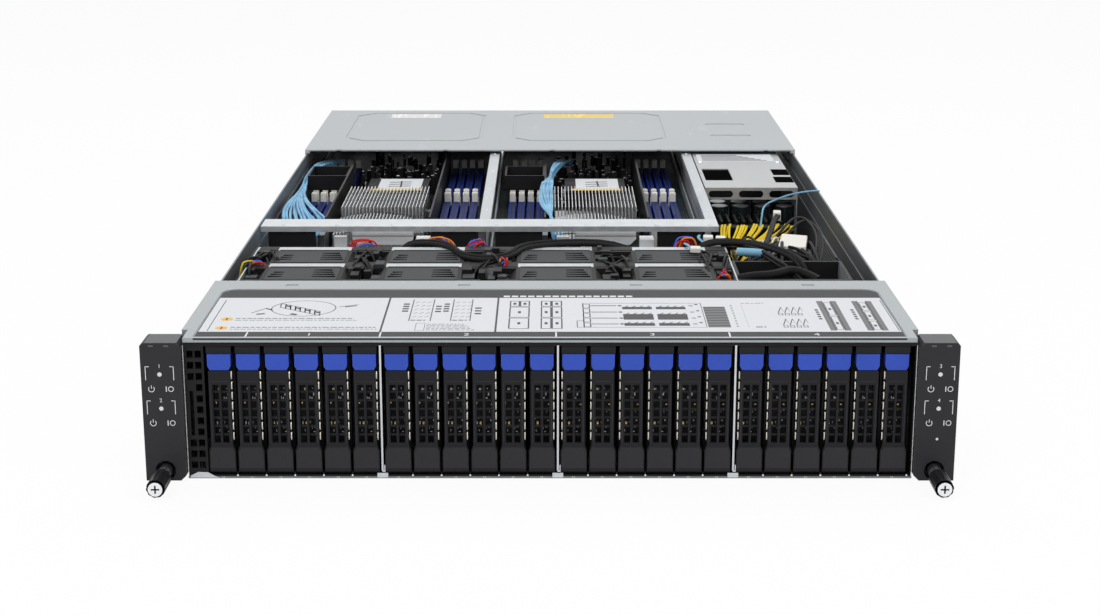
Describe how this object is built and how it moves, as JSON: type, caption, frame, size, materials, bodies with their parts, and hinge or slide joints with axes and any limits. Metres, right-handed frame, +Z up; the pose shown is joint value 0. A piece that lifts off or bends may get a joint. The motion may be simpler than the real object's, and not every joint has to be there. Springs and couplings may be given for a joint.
{
  "type": "rack server",
  "caption": "Flat rack server chassis with hot-swap drive carriers in front, inline cooling fans, slide-out node sleds and power supplies at the rear.",
  "frame": {"origin": "middle of the underside in the plane of the rack flanges' rear faces", "axes": "+X to the right seen from the front, +Y to the rear, +Z up"},
  "size_m": [0.4826, 0.901, 0.0875],
  "materials": {
    "zinc_steel": "satin",
    "cover_paint": "satin",
    "ear_black": "matte",
    "carrier_black": "satin",
    "latch_blue": "gloss",
    "screw_steel": "satin",
    "fan_plastic": "matte",
    "circuit_board": "satin",
    "fin_aluminium": "satin",
    "baffle_black": "satin",
    "cable_sleeve": "matte",
    "supply_steel": "satin"
  },
  "bodies": {
    "chassis": {"chassis_tray": "zinc_steel", "left_ear": "ear_black", "right_ear": "ear_black", "drive_cage": "zinc_steel", "drive_backplane": "circuit_board", "fan_frames": "fan_plastic", "fan_cage": "zinc_steel", "node_bay_frame": "zinc_steel", "midplane": "circuit_board", "psu_cage": "zinc_steel", "power_board": "circuit_board", "wiring_loom": "cable_sleeve"},
    "drive_carrier_01": {"drive_carrier_01": "carrier_black"},
    "drive_carrier_02": {"drive_carrier_02": "carrier_black"},
    "drive_carrier_03": {"drive_carrier_03": "carrier_black"},
    "drive_carrier_04": {"drive_carrier_04": "carrier_black"},
    "drive_carrier_05": {"drive_carrier_05": "carrier_black"},
    "drive_carrier_06": {"drive_carrier_06": "carrier_black"},
    "drive_carrier_07": {"drive_carrier_07": "carrier_black"},
    "drive_carrier_08": {"drive_carrier_08": "carrier_black"},
    "drive_carrier_09": {"drive_carrier_09": "carrier_black"},
    "drive_carrier_10": {"drive_carrier_10": "carrier_black"},
    "drive_carrier_11": {"drive_carrier_11": "carrier_black"},
    "drive_carrier_12": {"drive_carrier_12": "carrier_black"},
    "drive_carrier_13": {"drive_carrier_13": "carrier_black"},
    "drive_carrier_14": {"drive_carrier_14": "carrier_black"},
    "drive_carrier_15": {"drive_carrier_15": "carrier_black"},
    "drive_carrier_16": {"drive_carrier_16": "carrier_black"},
    "drive_carrier_17": {"drive_carrier_17": "carrier_black"},
    "drive_carrier_18": {"drive_carrier_18": "carrier_black"},
    "drive_carrier_19": {"drive_carrier_19": "carrier_black"},
    "drive_carrier_20": {"drive_carrier_20": "carrier_black"},
    "drive_carrier_21": {"drive_carrier_21": "carrier_black"},
    "drive_carrier_22": {"drive_carrier_22": "carrier_black"},
    "drive_carrier_23": {"drive_carrier_23": "carrier_black"},
    "drive_carrier_24": {"drive_carrier_24": "carrier_black"},
    "carrier_lever_01": {"carrier_lever_01": "carrier_black"},
    "carrier_latch_01": {"carrier_latch_01": "latch_blue"},
    "front_cover": {"front_cover": "cover_paint"},
    "rear_cover": {"rear_cover": "cover_paint"},
    "left_thumbscrew": {"left_thumbscrew": "screw_steel"},
    "right_thumbscrew": {"right_thumbscrew": "screw_steel"},
    "fan_rotor_1": {"fan_rotor_1": "fan_plastic"},
    "fan_rotor_2": {"fan_rotor_2": "fan_plastic"},
    "fan_rotor_3": {"fan_rotor_3": "fan_plastic"},
    "fan_rotor_4": {"fan_rotor_4": "fan_plastic"},
    "upper_left_node": {"upper_left_sled": "zinc_steel", "upper_left_board": "circuit_board", "upper_left_heatsinks": "fin_aluminium", "upper_left_baffle": "baffle_black", "upper_left_cables": "cable_sleeve"},
    "lower_left_node": {"lower_left_sled": "zinc_steel"},
    "upper_right_node": {"upper_right_sled": "zinc_steel", "upper_right_board": "circuit_board", "upper_right_heatsinks": "fin_aluminium", "upper_right_baffle": "baffle_black", "upper_right_cables": "cable_sleeve"},
    "lower_right_node": {"lower_right_sled": "zinc_steel"},
    "psu_lower": {"psu_lower": "supply_steel"},
    "psu_upper": {"psu_upper": "supply_steel"}
  },
  "joints": [
    {"name": "drive_carrier_01_slide", "type": "slide", "parent": "chassis", "child": "drive_carrier_01", "axis": [0, -1, 0], "range_m": [0, 0.12]},
    {"name": "drive_carrier_02_slide", "type": "slide", "parent": "chassis", "child": "drive_carrier_02", "axis": [0, -1, 0], "range_m": [0, 0.12]},
    {"name": "drive_carrier_03_slide", "type": "slide", "parent": "chassis", "child": "drive_carrier_03", "axis": [0, -1, 0], "range_m": [0, 0.12]},
    {"name": "drive_carrier_04_slide", "type": "slide", "parent": "chassis", "child": "drive_carrier_04", "axis": [0, -1, 0], "range_m": [0, 0.12]},
    {"name": "drive_carrier_05_slide", "type": "slide", "parent": "chassis", "child": "drive_carrier_05", "axis": [0, -1, 0], "range_m": [0, 0.12]},
    {"name": "drive_carrier_06_slide", "type": "slide", "parent": "chassis", "child": "drive_carrier_06", "axis": [0, -1, 0], "range_m": [0, 0.12]},
    {"name": "drive_carrier_07_slide", "type": "slide", "parent": "chassis", "child": "drive_carrier_07", "axis": [0, -1, 0], "range_m": [0, 0.12]},
    {"name": "drive_carrier_08_slide", "type": "slide", "parent": "chassis", "child": "drive_carrier_08", "axis": [0, -1, 0], "range_m": [0, 0.12]},
    {"name": "drive_carrier_09_slide", "type": "slide", "parent": "chassis", "child": "drive_carrier_09", "axis": [0, -1, 0], "range_m": [0, 0.12]},
    {"name": "drive_carrier_10_slide", "type": "slide", "parent": "chassis", "child": "drive_carrier_10", "axis": [0, -1, 0], "range_m": [0, 0.12]},
    {"name": "drive_carrier_11_slide", "type": "slide", "parent": "chassis", "child": "drive_carrier_11", "axis": [0, -1, 0], "range_m": [0, 0.12]},
    {"name": "drive_carrier_12_slide", "type": "slide", "parent": "chassis", "child": "drive_carrier_12", "axis": [0, -1, 0], "range_m": [0, 0.12]},
    {"name": "drive_carrier_13_slide", "type": "slide", "parent": "chassis", "child": "drive_carrier_13", "axis": [0, -1, 0], "range_m": [0, 0.12]},
    {"name": "drive_carrier_14_slide", "type": "slide", "parent": "chassis", "child": "drive_carrier_14", "axis": [0, -1, 0], "range_m": [0, 0.12]},
    {"name": "drive_carrier_15_slide", "type": "slide", "parent": "chassis", "child": "drive_carrier_15", "axis": [0, -1, 0], "range_m": [0, 0.12]},
    {"name": "drive_carrier_16_slide", "type": "slide", "parent": "chassis", "child": "drive_carrier_16", "axis": [0, -1, 0], "range_m": [0, 0.12]},
    {"name": "drive_carrier_17_slide", "type": "slide", "parent": "chassis", "child": "drive_carrier_17", "axis": [0, -1, 0], "range_m": [0, 0.12]},
    {"name": "drive_carrier_18_slide", "type": "slide", "parent": "chassis", "child": "drive_carrier_18", "axis": [0, -1, 0], "range_m": [0, 0.12]},
    {"name": "drive_carrier_19_slide", "type": "slide", "parent": "chassis", "child": "drive_carrier_19", "axis": [0, -1, 0], "range_m": [0, 0.12]},
    {"name": "drive_carrier_20_slide", "type": "slide", "parent": "chassis", "child": "drive_carrier_20", "axis": [0, -1, 0], "range_m": [0, 0.12]},
    {"name": "drive_carrier_21_slide", "type": "slide", "parent": "chassis", "child": "drive_carrier_21", "axis": [0, -1, 0], "range_m": [0, 0.12]},
    {"name": "drive_carrier_22_slide", "type": "slide", "parent": "chassis", "child": "drive_carrier_22", "axis": [0, -1, 0], "range_m": [0, 0.12]},
    {"name": "drive_carrier_23_slide", "type": "slide", "parent": "chassis", "child": "drive_carrier_23", "axis": [0, -1, 0], "range_m": [0, 0.12]},
    {"name": "drive_carrier_24_slide", "type": "slide", "parent": "chassis", "child": "drive_carrier_24", "axis": [0, -1, 0], "range_m": [0, 0.12]},
    {"name": "carrier_lever_01_hinge", "type": "hinge", "parent": "drive_carrier_01", "child": "carrier_lever_01", "pos_m": [-0.1958, -0.015, 0.0059], "axis": [1, 0, 0], "range_deg": [0, 50]},
    {"name": "carrier_latch_01_press", "type": "slide", "parent": "drive_carrier_01", "child": "carrier_latch_01", "axis": [0, 1, 0], "range_m": [0, 0.002], "stiffness_N_per_m": 400, "springref_m": -0.002},
    {"name": "front_cover_slide", "type": "slide", "parent": "chassis", "child": "front_cover", "axis": [0, 1, 0], "range_m": [0, 0.012]},
    {"name": "rear_cover_slide", "type": "slide", "parent": "chassis", "child": "rear_cover", "axis": [0, 1, 0], "range_m": [0, 0.012]},
    {"name": "left_thumbscrew_turn", "type": "hinge", "parent": "chassis", "child": "left_thumbscrew", "pos_m": [-0.2295, 0, 0.00635], "axis": [0, 1, 0], "continuous": true},
    {"name": "right_thumbscrew_turn", "type": "hinge", "parent": "chassis", "child": "right_thumbscrew", "pos_m": [0.2295, 0, 0.00635], "axis": [0, 1, 0], "continuous": true},
    {"name": "fan_rotor_1_spin", "type": "hinge", "parent": "chassis", "child": "fan_rotor_1", "pos_m": [-0.1678, 0.141, 0.0422], "axis": [0, 1, 0], "continuous": true},
    {"name": "fan_rotor_2_spin", "type": "hinge", "parent": "chassis", "child": "fan_rotor_2", "pos_m": [-0.087, 0.141, 0.0422], "axis": [0, 1, 0], "continuous": true},
    {"name": "fan_rotor_3_spin", "type": "hinge", "parent": "chassis", "child": "fan_rotor_3", "pos_m": [0.004, 0.141, 0.0422], "axis": [0, 1, 0], "continuous": true},
    {"name": "fan_rotor_4_spin", "type": "hinge", "parent": "chassis", "child": "fan_rotor_4", "pos_m": [0.0848, 0.141, 0.0422], "axis": [0, 1, 0], "continuous": true},
    {"name": "upper_left_node_slide", "type": "slide", "parent": "chassis", "child": "upper_left_node", "axis": [0, 1, 0], "range_m": [0, 0.55]},
    {"name": "lower_left_node_slide", "type": "slide", "parent": "chassis", "child": "lower_left_node", "axis": [0, 1, 0], "range_m": [0, 0.55]},
    {"name": "upper_right_node_slide", "type": "slide", "parent": "chassis", "child": "upper_right_node", "axis": [0, 1, 0], "range_m": [0, 0.55]},
    {"name": "lower_right_node_slide", "type": "slide", "parent": "chassis", "child": "lower_right_node", "axis": [0, 1, 0], "range_m": [0, 0.55]},
    {"name": "psu_lower_slide", "type": "slide", "parent": "chassis", "child": "psu_lower", "axis": [0, 1, 0], "range_m": [0, 0.265]},
    {"name": "psu_upper_slide", "type": "slide", "parent": "chassis", "child": "psu_upper", "axis": [0, 1, 0], "range_m": [0, 0.265]}
  ]
}
